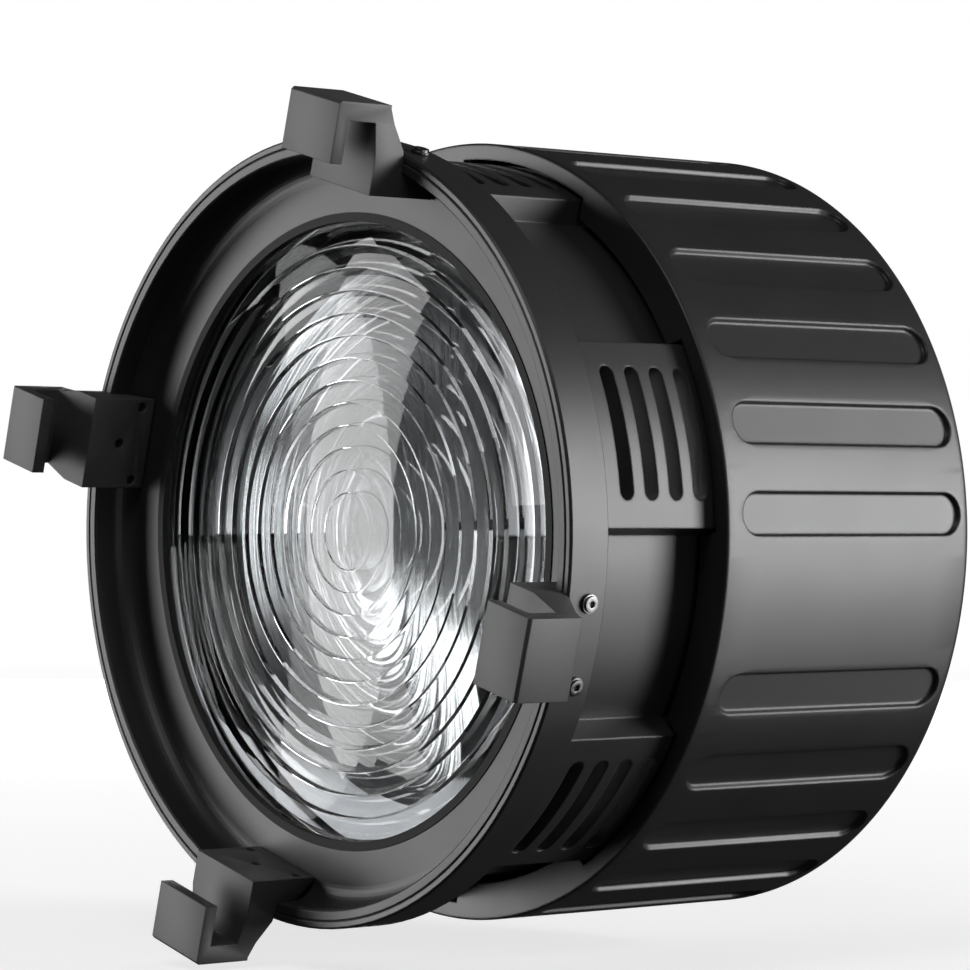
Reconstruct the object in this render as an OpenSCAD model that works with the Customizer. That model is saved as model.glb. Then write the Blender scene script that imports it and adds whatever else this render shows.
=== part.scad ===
// Focusing Fresnel lens attachment for a bayonet-mount studio lamp.
// Light leaves along -Y. The origin is the centre of the rear mount seat, +Z is up.
// Angles are measured from +X towards +Z, as seen from the front.
// Stations are distances behind the rim's front face with the lens at rest.

/* [Lens barrel] */
// Outer radius of the vented barrel
barrel_r = 101; // [85:0.5:125]
// Wall of the barrel and of the land around a vent pad's relief
barrel_wall = 2.5; // [2:0.1:4]
// How far the barrel, its brackets and pads are turned from upright
barrel_turn = -15; // [-45:1:45]
// Height of a vent pad above the barrel
pad_h = 7; // [5:0.1:9]
// Width of a vent pad
pad_w = 52.4; // [40:0.1:60]
// Depth of the relief inside a vent pad
pad_relief = 1.5; // [1:0.1:2.5]
// Number of vent pads
pad_count = 6; // [3:1:6]
// Number of slots in a vent pad
vent_count = 5; // [2:1:5]
// Width of a vent slot along the axis
vent_w = 5; // [3:0.1:6]
// Length of a vent slot around the barrel
vent_len = 37.6; // [20:0.1:40]
// Distance from one vent slot to the next
vent_pitch = 8.95; // [8:0.05:10]
// Distance from the rim's rear edge to the first vent slot
vent_start = 8.8; // [5:0.1:12]

/* [Rim and cup] */
// How far the rim stands out from the barrel
rim_step = 12; // [10:0.1:15]
// Depth of the rim band
rim_depth = 13.6; // [12:0.1:18]
// Thickness of the rim band
band_t = 2.3; // [1.8:0.1:3]
// Wall of the cup inside the rim band
cup_wall = 3.1; // [2.5:0.1:4]
// Thickness of the cup's floor
floor_t = 1.3; // [1:0.1:2]
// Fillet between the cup's wall and floor
cup_fillet = 6; // [3:0.1:6.5]
// Visible radius of the lens
aperture_r = 89; // [70:0.5:89]

/* [Lens] */
// Radius of the lens's central disc
zone_first = 11; // [8:0.1:16]
// Number of stepped zones round the central disc
zone_count = 12; // [6:1:16]
// Slope of a zone's face for each millimetre of radius
zone_slope = 0.0058; // [0.003:0.0001:0.007]
// Draft of the step between two zones
riser_draft = 0.2; // [0.1:0.05:0.4]
// Thickness of the lens at its edge
lens_edge_t = 5; // [4.6:0.1:7]
// Thickness of the gasket behind the cup's floor
gasket_t = 0.8; // [0.5:0.1:1.5]
// Width of the gasket ring that shows round the lens
gasket_w = 2.5; // [1.5:0.1:3]
// Thickness of the ring that holds the lens from behind
retainer_t = 3; // [2:0.1:4]

/* [Accessory brackets] */
// Number of brackets
bracket_count = 4; // [2:1:4]
// Width of the lip and the web
bracket_w = 22.8; // [18:0.1:27]
// Width of the foot in the cup
foot_w = 27.8; // [27:0.1:34]
// Reach of the web beyond the rim
web_reach = 12.2; // [10:0.1:16]
// Thickness of the web
web_t = 5.3; // [4:0.1:6]
// Depth from the rim's front face to the lip's front face
lip_depth = 23.4; // [20:0.1:28]
// Thickness of the lip
lip_t = 4; // [3:0.1:5]
// Length of the lip from the web's outer face to its end
lip_len = 17.5; // [14:0.1:20]
// Depth from the rim's front face to the front of the leg
leg_depth = 10; // [8:0.1:12]
// Thickness of the leg where it meets the web
leg_t = 4.7; // [3.5:0.1:6]
// Thickness of the foot inside the cup
foot_t = 7.6; // [7.2:0.1:9]
// Distance between a bracket's two screws
bracket_screw_gap = 22.8; // [20:0.1:23]
// Radius of a bracket screw's shank
bracket_screw_r = 1.5; // [1:0.1:2]

/* [Grip sleeve] */
// Wall of the grip sleeve
sleeve_wall = 4.5; // [4:0.1:6]
// Thickness of the keyed front face
key_t = 4.5; // [3:0.1:6]
// Gap between the barrel and the keyed front face
key_gap = 2.2; // [1.5:0.1:3]
// Gap round a vent pad in its notch
pad_gap = 1.2; // [0.8:0.1:1.4]
// Number of places for grip recesses, one of them left plain
grip_count = 28; // [20:1:30]
// Angle of the first grip recess
grip_first = 2.95; // [-6:0.05:6]
// Width of a grip recess
grip_w = 13; // [8:0.1:15]
// Depth of a grip recess
grip_depth = 1.6; // [0.8:0.1:2]
// Plain margin in front of the recesses
grip_front = 5.7; // [4:0.1:9]
// Plain margin behind the recesses
grip_rear = 4.1; // [3.5:0.1:9]

/* [Focus travel] */
// Opening between the rim band and the sleeve at rest
open_gap = 42.3; // [30:0.1:50]
// Opening that is left when the lens is drawn right in
close_gap = 1.3; // [1:0.1:5]
// How far the lens can still move out from rest
travel_out = 10; // [5:0.1:12]
// Turn of the sleeve over the whole travel
turn_total = 120; // [90:1:120]
// Radius of a cam roller
roller_r = 4; // [3:0.1:5]
// Gap between a roller and each side of its cam slot
roller_gap = 0.3; // [0.2:0.05:0.5]
// Wall of the cam tube
cam_wall = 4.4; // [3:0.1:6]
// Free depth between the retracted lens group and the cam tube
cone_room = 11; // [8:0.1:20]

/* [Rear housing and mount] */
// Radius of the throat that the lamp shines through
throat_r = 49; // [40:0.5:52]
// Thickness of the bearing drum's floor
drum_floor_t = 4; // [3:0.1:6]
// Wall of the bearing drum
drum_wall = 4; // [3:0.1:4.5]
// Thickness of the sleeve's trap ring
trap_t = 3; // [2.5:0.1:4]
// Thickness of the rear cover
cover_t = 3; // [3:0.1:5]
// Thickness of the mount ring's flange
flange_t = 2.4; // [2.3:0.1:4]
// Width of the mount ring's flange outside the lugs
flange_w = 8; // [8:0.1:12]
// Inner radius of the mount ring's collar
collar_r = 60; // [56:0.5:64]
// Wall of the collar
collar_wall = 4; // [3:0.1:5]
// Length of the collar behind the mount seat
collar_len = 8; // [7:0.1:12]
// How far a bayonet lug stands out from the collar
lug_h = 6; // [4:0.1:8]
// Thickness of a bayonet lug
lug_t = 3; // [2.5:0.1:4]
// Angle that a bayonet lug covers
lug_angle = 32; // [20:1:45]

/* [Hidden] */
$fn = 96;
run_fit = 0.08;
end_play = 0.3;
seam_angle = 48;

// Radii
barrel_in = barrel_r - barrel_wall;
pad_r = barrel_r + pad_h;
rim_r = barrel_r + rim_step;
cup_out = rim_r - band_t;
cup_in = cup_out - cup_wall;
foot_in = cup_in - foot_t;
web_out = rim_r + web_reach;
web_in = web_out - web_t;
lens_r = barrel_in - 3.5;
spigot_in = lens_r + 0.3;
clamp_r = (spigot_in + barrel_in) / 2;
sleeve_in = pad_r + pad_gap + 0.3;
sleeve_r = sleeve_in + sleeve_wall;
trap_out = sleeve_in + 1.3;
drum_r = sleeve_in - run_fit;
boss_r = drum_r - 5.5;
cam_r = barrel_in - run_fit;
cam_in = cam_r - cam_wall;
slot_r = roller_r + roller_gap;
cam_flange_in = cam_in - 7.5;
cam_screw_r = cam_in - 3.4;
cone_r = cam_flange_in + 1.5;
cone_screw_r = throat_r + 6;
cover_r = boss_r + 4;
cover_screw_r = (cam_screw_r + boss_r) / 2 - 1.5;
lug_r = collar_r + collar_wall + lug_h;
flange_r = lug_r + flange_w;
flange_screw_r = lug_r + flange_w / 2;

// Stations
cup_floor = rim_depth - floor_t;
lens_front = rim_depth + gasket_t;
lens_back = lens_front + lens_edge_t;
spigot_back = lens_back - 2;
retainer_back = lens_back + retainer_t;
group_back = retainer_back + 1.6;
sleeve_front = rim_depth + open_gap;
key_back = sleeve_front + key_t;
travel_in = open_gap - close_gap;
travel = travel_in + travel_out;
cam_front = group_back + travel_in + cone_room;
roller_at = cam_front + 5.7 + slot_r + travel_out;
barrel_back = roller_at + roller_r + 2;
drum_floor = barrel_back + travel_in + 2;
drum_back = drum_floor + drum_floor_t;
trap_front = drum_back + end_play;
sleeve_back = trap_front + trap_t;
cover_front = sleeve_back + end_play;
flange_front = cover_front + cover_t;
seat = flange_front + flange_t;
pad_back = key_back + travel_out + 3.5;
drum_front = pad_back + travel_in + 3;

// Cam
turn_out = turn_total * travel_out / travel;
cam_slots = 3;
cam_steps = 8;
roller_angle = barrel_turn + 90;
pad_angle = barrel_turn + 30;
screw_count = 6;
clamp_screw_angle = 30;

// A body turned about the Y axis from [radius, station] points, its seam clear of all cuts
module turned(points) {
    translate([0, -seat, 0])
    rotate([0, -seam_angle, 0])
    rotate([-90, 0, 0])
    rotate_extrude($fn = 180)
    polygon(points);
}

// Puts children, drawn with +Z outwards, at an angle round the axis
module at_angle(angle) {
    translate([0, -seat, 0])
    rotate([0, 90 - angle, 0])
    children();
}

// Extrudes a [x, z] outline along the axis between two stations
module between(front, back) {
    translate([0, back, 0])
    rotate([90, 0, 0])
    linear_extrude(back - front)
    children();
}

// Extrudes a [station, z] outline across the width
module across(width) {
    rotate([90, 0, 90])
    linear_extrude(width, center = true)
    children();
}

// A radial cylinder between two radii at a station and a sideways offset
module radial(x, station, r_from, r_to, r) {
    translate([x, station, r_from])
    cylinder(h = r_to - r_from, r = r);
}

// A cylinder along the axis between two stations at a radius
module axial(radius, front, back, r) {
    translate([0, front, radius])
    rotate([-90, 0, 0])
    cylinder(h = back - front, r = r);
}

// A countersunk head that narrows towards the front
module countersunk(radius, front, back, r_small, r_big) {
    translate([0, front, radius])
    rotate([-90, 0, 0])
    cylinder(h = back - front, r1 = r_small, r2 = r_big);
}

// A flat outline with two round ends, longest along X
module round_ended(length, width) {
    square([length - width, width], center = true);
    for (side = [-1, 1]) {
        translate([side * (length - width) / 2, 0])
        circle(r = width / 2);
    }
}

// Outline of a vent pad: straight sides, round top
module pad_outline(width, top) {
    intersection() {
        circle(r = top, $fn = 180);
        translate([-width / 2, barrel_in - 4])
        square([width, top]);
    }
}

// ---- Rear housing ----

module bearing_drum() {
    color("#26272a")
    difference() {
        turned([
            [throat_r, drum_floor], [drum_r - drum_wall, drum_floor],
            [drum_r - drum_wall, drum_front], [drum_r, drum_front],
            [drum_r, drum_back], [boss_r, drum_back],
            [boss_r, cover_front], [throat_r, cover_front]
        ]);
        for (k = [0 : screw_count - 1]) {
            at_angle(k * 60)
            axial(cam_screw_r, drum_floor - 1, drum_floor + 4, 1.5);
            at_angle(k * 60 + 30)
            axial(cover_screw_r, cover_front - 6, cover_front + 1, 2);
            at_angle(k * 60)
            axial(flange_screw_r, cover_front - 4, cover_front + 1, 2);
        }
        for (k = [0 : 2]) {
            at_angle(k * 120 + 90)
            axial(cone_screw_r, drum_floor - 1, drum_floor + 4, 1.5);
        }
    }
}

// One helical cam slot, cut as short straight runs with a round bore at each joint
module cam_slot() {
    step = turn_total / cam_steps;
    rise = travel / cam_steps;
    run = (cam_r + cam_in) / 2 * 2 * sin(step / 2);
    for (k = [0 : cam_steps]) {
        at_angle(roller_angle + turn_out - k * step)
        radial(0, roller_at - travel_out + k * rise, cam_in - 2, cam_r + 2, slot_r);
    }
    for (k = [0 : cam_steps - 1]) {
        at_angle(roller_angle + turn_out - (k + 0.5) * step)
        translate([0, roller_at - travel_out + (k + 0.5) * rise, (cam_r + cam_in) / 2])
        rotate([0, 0, atan2(rise, run)])
        cube([norm([rise, run]), 2 * slot_r, cam_wall + 4], center = true);
    }
}

module cam_tube() {
    color("#8d9095")
    difference() {
        turned([
            [cam_in, cam_front], [cam_r, cam_front], [cam_r, drum_floor],
            [cam_flange_in, drum_floor], [cam_flange_in, drum_floor - 3],
            [cam_in, drum_floor - 3]
        ]);
        for (k = [0 : cam_slots - 1]) {
            translate([0, -seat, 0])
            rotate([0, k * 360 / cam_slots, 0])
            translate([0, seat, 0])
            cam_slot();
        }
        for (k = [0 : screw_count - 1]) {
            at_angle(k * 60)
            axial(cam_screw_r, drum_floor - 5, drum_floor + 1, 1.6);
        }
    }
}

module cam_tube_screws() {
    color("#1c1c1e")
    for (k = [0 : screw_count - 1]) {
        at_angle(k * 60)
        difference() {
            union() {
                axial(cam_screw_r, drum_floor - 6, drum_floor - 3, 2.7);
                axial(cam_screw_r, drum_floor - 4, drum_floor + 3.5, 1.5);
            }
            axial(cam_screw_r, drum_floor - 7, drum_floor - 4.5, 1.2);
        }
    }
}

module light_cone() {
    cone_front = group_back + travel_in + 4;
    color("#d9dbdd")
    difference() {
        turned([
            [throat_r + 0.5, drum_floor], [throat_r + 10, drum_floor],
            [throat_r + 10, drum_floor - 1.2], [throat_r + 2, drum_floor - 1.2],
            [cone_r + 1.3, cone_front + 1.2], [barrel_in - 1, cone_front + 1.2],
            [barrel_in - 1, cone_front], [cone_r, cone_front],
            [throat_r + 0.5, drum_floor - 1.2]
        ]);
        for (k = [0 : 2]) {
            at_angle(k * 120 + 90)
            axial(cone_screw_r, drum_floor - 3, drum_floor + 1, 1.6);
        }
    }
}

module light_cone_screws() {
    color("#b8bbbf")
    for (k = [0 : 2]) {
        at_angle(k * 120 + 90) {
            axial(cone_screw_r, drum_floor - 3, drum_floor - 1.2, 2.4);
            axial(cone_screw_r, drum_floor - 1.5, drum_floor + 3.5, 1.5);
        }
    }
}

module rear_cover() {
    color("#202124")
    difference() {
        turned([
            [throat_r, cover_front], [cover_r, cover_front],
            [cover_r, flange_front - 0.6], [cover_r - 0.6, flange_front],
            [throat_r, flange_front]
        ]);
        for (k = [0 : screw_count - 1]) {
            at_angle(k * 60 + 30) {
                axial(cover_screw_r, cover_front - 1, flange_front + 1, 2.2);
                countersunk(cover_screw_r, flange_front - 2.2, flange_front + 0.01, 2.2, 4.2);
            }
            at_angle(k * 60)
            axial(flange_screw_r, cover_front - 1, flange_front + 1, 2);
        }
    }
}

module rear_cover_screws() {
    color("#3a3b3e")
    for (k = [0 : screw_count - 1]) {
        at_angle(k * 60 + 30)
        difference() {
            union() {
                countersunk(cover_screw_r, flange_front - 2.1, flange_front - 0.1, 2, 4);
                axial(cover_screw_r, cover_front - 5.5, flange_front - 2, 2);
            }
            axial(cover_screw_r, flange_front - 1.4, flange_front, 1.3);
        }
    }
}

module mount_ring() {
    lug_front = seat + collar_len - lug_t;
    color("#9a9da2")
    difference() {
        union() {
            turned([
                [collar_r, flange_front], [flange_r, flange_front],
                [flange_r, seat - 0.5], [flange_r - 0.5, seat],
                [collar_r + collar_wall, seat], [collar_r + collar_wall, seat + collar_len],
                [collar_r, seat + collar_len]
            ]);
            for (k = [0 : 2]) {
                translate([0, -seat, 0])
                rotate([0, -90 - k * 120 - lug_angle / 2, 0])
                translate([0, lug_front, 0])
                rotate([-90, 0, 0])
                rotate_extrude(angle = lug_angle, $fn = 180)
                translate([collar_r + 1, 0])
                square([lug_r - collar_r - 1, lug_t]);
            }
        }
        for (k = [0 : screw_count - 1]) {
            at_angle(k * 60) {
                axial(flange_screw_r, flange_front - 1, seat + 1, 2.1);
                countersunk(flange_screw_r, seat - 2, seat + 0.01, 2.1, 4);
            }
        }
        at_angle(90)
        axial(lug_r + 0.5, lug_front - 1, seat + collar_len + 1, 2.5);
    }
}

module mount_ring_screws() {
    color("#b8bbbf")
    for (k = [0 : screw_count - 1]) {
        at_angle(k * 60)
        difference() {
            union() {
                countersunk(flange_screw_r, seat - 2, seat - 0.1, 2, 3.8);
                axial(flange_screw_r, cover_front - 3.5, seat - 1.9, 2);
            }
            axial(flange_screw_r, seat - 1.3, seat, 1.2);
        }
    }
}

// ---- Focus ring ----

module grip_sleeve() {
    grip_len = sleeve_back - grip_rear - sleeve_front - grip_front;
    grip_mid = (sleeve_back - grip_rear + sleeve_front + grip_front) / 2;
    color("#3a3b3e")
    difference() {
        turned([
            [barrel_r + key_gap, sleeve_front], [sleeve_r - 0.8, sleeve_front],
            [sleeve_r - 0.23, sleeve_front + 0.23], [sleeve_r, sleeve_front + 0.8],
            [sleeve_r, sleeve_back - 2.5], [sleeve_r - 0.19, sleeve_back - 1.54],
            [sleeve_r - 0.73, sleeve_back - 0.73], [sleeve_r - 1.54, sleeve_back - 0.19],
            [sleeve_r - 2.5, sleeve_back], [trap_out, sleeve_back], [trap_out, trap_front],
            [sleeve_in, trap_front], [sleeve_in, key_back], [barrel_r + key_gap, key_back]
        ]);
        for (k = [0 : pad_count - 1]) {
            at_angle(pad_angle + k * 360 / pad_count)
            between(sleeve_front - 1, key_back + 1)
            pad_outline(pad_w + 2 * pad_gap, pad_r + pad_gap);
        }
        for (k = [0 : grip_count - 2]) {
            at_angle(grip_first + k * 360 / grip_count)
            translate([0, grip_mid, sleeve_r - grip_depth])
            rotate([0, 0, 90])
            linear_extrude(grip_depth + 2)
            round_ended(grip_len, grip_w);
        }
    }
}

module trap_ring() {
    color("#55575b")
    turned([
        [boss_r + 0.5, trap_front], [trap_out, trap_front],
        [trap_out, sleeve_back], [boss_r + 0.5, sleeve_back]
    ]);
}

// ---- Lens barrel ----

// The barrel's outline with its vent pads, filled in
module barrel_outline() {
    rotate(seam_angle)
    circle(r = barrel_r, $fn = 180);
    for (k = [0 : pad_count - 1]) {
        rotate(pad_angle - 90 + k * 360 / pad_count)
        pad_outline(pad_w, pad_r);
    }
}

module vented_barrel() {
    color("#303134")
    difference() {
        translate([0, -seat, 0])
        union() {
            between(rim_depth, pad_back)
            barrel_outline();
            between(pad_back, barrel_back)
            rotate(seam_angle)
            circle(r = barrel_r, $fn = 180);
        }
        turned([
            [0, rim_depth - 1], [barrel_in, rim_depth - 1], [barrel_in, spigot_back],
            [spigot_in, spigot_back], [spigot_in, lens_back], [barrel_in, lens_back],
            [barrel_in, barrel_back + 1], [0, barrel_back + 1]
        ]);
        for (k = [0 : pad_count - 1]) {
            at_angle(pad_angle + k * 360 / pad_count) {
                between(lens_back + 1, pad_back - barrel_wall)
                pad_outline(pad_w - 2 * barrel_wall, barrel_in + pad_relief);
                for (slot = [0 : vent_count - 1]) {
                    translate([0, rim_depth + vent_start + vent_w / 2 + slot * vent_pitch, barrel_in - 3])
                    linear_extrude(pad_r - barrel_in + 6)
                    round_ended(vent_len, vent_w);
                }
            }
        }
        for (k = [0 : screw_count - 1]) {
            at_angle(clamp_screw_angle + k * 60)
            axial(clamp_r, spigot_back - 1, lens_back + 1, 1.25);
        }
        for (k = [0 : cam_slots - 1]) {
            at_angle(roller_angle + k * 120)
            radial(0, roller_at, barrel_in - 2, barrel_r + 2, 2.5);
        }
    }
}

// The radial holes for the bracket screws
module bracket_bores(r_from, r_to, r) {
    for (k = [0 : bracket_count - 1], side = [-1, 1]) {
        at_angle(barrel_turn + k * 360 / bracket_count)
        radial(side * bracket_screw_gap / 2, 7.5, r_from, r_to, r);
    }
}

module front_rim() {
    color("#4a4b4e")
    difference() {
        turned([
            [cup_out, 0.4], [cup_out + 0.4, 0], [rim_r - 0.6, 0], [rim_r, 0.6],
            [rim_r, rim_depth - 0.5], [rim_r - 0.5, rim_depth], [cup_out, rim_depth]
        ]);
        bracket_bores(cup_in, rim_r + 3, bracket_screw_r);
    }
}

module front_cup() {
    fillet_at = cup_floor - cup_fillet;
    fillet = [for (a = [0 : 10 : 90])
        [cup_in - cup_fillet + cup_fillet * cos(a), fillet_at + cup_fillet * sin(a)]];
    color("#3a3b3e")
    difference() {
        turned(concat(
            fillet,
            [
                [aperture_r + gasket_w, cup_floor], [aperture_r + gasket_w, rim_depth],
                [spigot_in, rim_depth], [spigot_in, spigot_back],
                [barrel_in, spigot_back], [barrel_in, rim_depth],
                [cup_out, rim_depth], [cup_out, 0.4], [cup_out - 0.4, 0],
                [cup_in + 0.5, 0], [cup_in, 0.5]
            ]
        ));
        bracket_bores(cup_in - 3, rim_r + 3, bracket_screw_r);
        for (k = [0 : screw_count - 1]) {
            at_angle(clamp_screw_angle + k * 60)
            axial(clamp_r, rim_depth + 0.3, spigot_back + 1, 1.25);
        }
    }
}

module lens_gasket() {
    color("#101011")
    turned([
        [aperture_r, cup_floor - 0.3], [aperture_r + gasket_w, cup_floor - 0.3],
        [aperture_r + gasket_w, rim_depth], [lens_r, rim_depth],
        [lens_r, lens_front], [aperture_r, lens_front]
    ]);
}

// Face of one lens zone: a convex slope from its crest to its foot
function zone_face(r0, r1, crest) = [for (t = [0 : 0.25 : 1])
    [r0 + t * (r1 - r0), crest + zone_slope * (r1 - r0) * (r0 * t + (r1 - r0) * t * t / 2)]];

module fresnel_lens() {
    crest = lens_front - 0.5;
    zone_w = (aperture_r - 0.5 - zone_first) / zone_count;
    zones = [for (k = [0 : zone_count - 1])
        each zone_face(zone_first + k * zone_w + riser_draft, zone_first + (k + 1) * zone_w, crest)];
    color("#dfe8ee", 0.5)
    turned(concat(
        zone_face(0, zone_first, crest),
        zones,
        [
            [aperture_r, lens_front], [lens_r, lens_front],
            [lens_r, lens_back], [0, lens_back]
        ]
    ));
}

module lens_retainer() {
    color("#55575b")
    difference() {
        turned([
            [aperture_r - 1, lens_back], [barrel_in - 0.2, lens_back],
            [barrel_in - 0.2, retainer_back], [aperture_r - 1, retainer_back]
        ]);
        for (k = [0 : screw_count - 1]) {
            at_angle(clamp_screw_angle + k * 60)
            axial(clamp_r, lens_back - 1, retainer_back + 1, 1.25);
        }
    }
}

module lens_clamp_screws() {
    color("#b8bbbf")
    for (k = [0 : screw_count - 1]) {
        at_angle(clamp_screw_angle + k * 60)
        difference() {
            union() {
                axial(clamp_r - 0.5, retainer_back, group_back, 1.9);
                axial(clamp_r, rim_depth + 0.8, retainer_back + 0.5, 1.25);
            }
            axial(clamp_r - 0.5, retainer_back + 0.6, group_back + 1, 0.8);
        }
    }
}

// ---- Accessory brackets ----

module bracket(angle) {
    foot_back = cup_floor - 0.4;
    color("#45464a")
    at_angle(angle)
    difference() {
        union() {
            across(bracket_w)
            polygon([
                [-lip_depth, web_out - lip_len], [-lip_depth, web_out - 0.8],
                [-lip_depth + 0.8, web_out], [-leg_depth + leg_t, web_out],
                [-leg_depth + leg_t, web_in - 1], [-leg_depth, web_in - 1],
                [-leg_depth, web_in], [-lip_depth + lip_t, web_in],
                [-lip_depth + lip_t, web_out - lip_len]
            ]);
            intersection() {
                across(foot_w)
                polygon([
                    [-leg_depth, foot_in], [-leg_depth, web_out - 1],
                    [-leg_depth + leg_t, web_out - 1], [0, rim_r],
                    [0, cup_in], [cup_floor - cup_fillet - 1, cup_in],
                    [foot_back, cup_in - cup_fillet - 0.5], [foot_back, foot_in]
                ]);
                between(-leg_depth - 1, foot_back + 1)
                polygon([
                    [-foot_w / 2, 0], [-foot_w / 2, rim_r - 3], [-bracket_w / 2, web_in],
                    [-bracket_w / 2, web_out], [bracket_w / 2, web_out],
                    [bracket_w / 2, web_in], [foot_w / 2, rim_r - 3], [foot_w / 2, 0]
                ]);
            }
        }
        between(0, foot_back + 2)
        difference() {
            circle(r = rim_r + 20, $fn = 180);
            circle(r = cup_in, $fn = 180);
        }
        for (side = [-1, 1]) {
            radial(side * bracket_screw_gap / 2, 7.5, 0, cup_in + 1, bracket_screw_r);
        }
        radial(0, 1.1, 0, cup_in + 1, bracket_screw_r);
    }
}

module bracket_screws() {
    color("#1c1c1e")
    for (k = [0 : bracket_count - 1], side = [-1, 1]) {
        at_angle(barrel_turn + k * 360 / bracket_count)
        rotate([0, side * asin(bracket_screw_gap / 2 / rim_r), 0])
        bracket_screw(side);
    }
}

// One button-head screw: the shank is parallel to the bracket's middle line
module bracket_screw(side) {
    tilt = -side * asin(bracket_screw_gap / 2 / rim_r);
    difference() {
        union() {
            radial(0, 7.5, rim_r + 0.02, rim_r + 0.9, 2.7);
            radial(0, 7.5, rim_r + 0.9, rim_r + 1.6, 2.2);
        }
        translate([0, 7.5, rim_r + 0.6])
        cylinder(h = 2, r = 1, $fn = 6);
    }
    rotate([0, tilt, 0])
    radial(side * bracket_screw_gap / 2, 7.5, foot_in + 2, rim_r - 0.5, bracket_screw_r);
}

// ---- Cam rollers ----

module cam_rollers() {
    color("#c9a45a")
    for (k = [0 : cam_slots - 1]) {
        at_angle(roller_angle + k * 120)
        difference() {
            radial(0, roller_at, cam_in + 0.2, barrel_in - 0.2, roller_r);
            radial(0, roller_at, cam_in - 1, barrel_in + 1, 2);
        }
    }
}

module roller_screws() {
    color("#b8bbbf")
    for (k = [0 : cam_slots - 1]) {
        at_angle(roller_angle + k * 120)
        difference() {
            union() {
                radial(0, roller_at, barrel_r + 0.02, barrel_r + 2, 4.2);
                radial(0, roller_at, barrel_in - 0.2, barrel_r + 0.5, 2.5);
                radial(0, roller_at, cam_in - 0.6, barrel_in, 2);
                radial(0, roller_at, cam_in - 1.4, cam_in - 0.4, 3);
            }
            translate([0, roller_at, barrel_r + 0.9])
            cylinder(h = 2, r = 1.4, $fn = 6);
        }
    }
}

bearing_drum();
cam_tube();
cam_tube_screws();
light_cone();
light_cone_screws();
rear_cover();
rear_cover_screws();
mount_ring();
mount_ring_screws();
grip_sleeve();
trap_ring();
vented_barrel();
front_rim();
front_cup();
lens_gasket();
fresnel_lens();
lens_retainer();
lens_clamp_screws();
bracket(barrel_turn);  // bracket_right
bracket(barrel_turn + 90);  // bracket_top
bracket(barrel_turn + 180);  // bracket_left
bracket(barrel_turn + 270);  // bracket_bottom
bracket_screws();
cam_rollers();
roller_screws();
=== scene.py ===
"""A focusing Fresnel lens attachment: its finishes, its fine pieces and the studio round it."""

import math

import bmesh
import bpy
from bpy.props import FloatProperty, FloatVectorProperty, IntProperty, PointerProperty
from mathutils import Matrix, Vector


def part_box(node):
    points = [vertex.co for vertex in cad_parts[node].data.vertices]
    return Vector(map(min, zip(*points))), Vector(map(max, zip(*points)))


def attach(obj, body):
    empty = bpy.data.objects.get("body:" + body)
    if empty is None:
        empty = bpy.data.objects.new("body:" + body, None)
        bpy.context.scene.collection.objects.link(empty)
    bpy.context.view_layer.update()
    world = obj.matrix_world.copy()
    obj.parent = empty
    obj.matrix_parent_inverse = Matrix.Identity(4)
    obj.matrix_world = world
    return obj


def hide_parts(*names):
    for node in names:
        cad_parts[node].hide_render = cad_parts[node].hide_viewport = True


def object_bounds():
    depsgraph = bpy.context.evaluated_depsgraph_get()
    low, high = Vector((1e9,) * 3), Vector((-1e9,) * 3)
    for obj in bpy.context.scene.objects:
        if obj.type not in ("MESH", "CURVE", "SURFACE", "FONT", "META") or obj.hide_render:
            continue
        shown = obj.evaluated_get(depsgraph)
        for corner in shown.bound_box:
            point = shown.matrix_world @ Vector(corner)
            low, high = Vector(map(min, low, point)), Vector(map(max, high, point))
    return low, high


bl_info = {
    "name": "Fresnel lens attachment",
    "version": (1, 0, 0),
    "blender": (4, 5, 0),
    "location": "View3D > Sidebar > Fresnel",
    "description": "Builds the looks of a focusing Fresnel lens attachment and its studio",
    "category": "Object",
}

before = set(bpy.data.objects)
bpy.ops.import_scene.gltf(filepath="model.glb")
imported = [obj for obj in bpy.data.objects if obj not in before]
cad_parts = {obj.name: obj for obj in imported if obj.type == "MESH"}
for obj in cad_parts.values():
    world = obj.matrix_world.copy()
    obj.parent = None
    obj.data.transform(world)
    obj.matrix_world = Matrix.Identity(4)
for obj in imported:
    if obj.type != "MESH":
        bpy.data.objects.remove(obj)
cad_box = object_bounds()
finishes = {}


# ---- Sizes read from the frame, in metres ----


def front(node):
    """The place along Y of a node's front face."""
    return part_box(node)[0].y


def back(node):
    """The place along Y of a node's rear face."""
    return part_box(node)[1].y


def radius(node):
    """The largest radius of a node that goes right round the axis."""
    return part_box(node)[1].z


RIM_FRONT = front("front_rim")


# ---- Shader building ----


class Value:
    """A number socket that takes part in Python expressions."""

    def __init__(self, finish, socket):
        self.finish = finish
        self.socket = socket

    def maths(self, operation, *values, clamp=False):
        node = self.finish.node("ShaderNodeMath", {"operation": operation, "use_clamp": clamp},
                                dict(enumerate(values)))
        return Value(self.finish, node.outputs[0])

    def __add__(self, other):
        return self.maths("ADD", self, other)

    def __radd__(self, other):
        return self.maths("ADD", other, self)

    def __sub__(self, other):
        return self.maths("SUBTRACT", self, other)

    def __rsub__(self, other):
        return self.maths("SUBTRACT", other, self)

    def __mul__(self, other):
        return self.maths("MULTIPLY", self, other)

    def __rmul__(self, other):
        return self.maths("MULTIPLY", other, self)

    def __truediv__(self, other):
        return self.maths("DIVIDE", self, other)

    def __pow__(self, other):
        return self.maths("POWER", self, other)

    def __gt__(self, other):
        return self.maths("GREATER_THAN", self, other)

    def limited(self):
        """The value held between 0 and 1."""
        return self.maths("ADD", self, 0.0, clamp=True)


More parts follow.
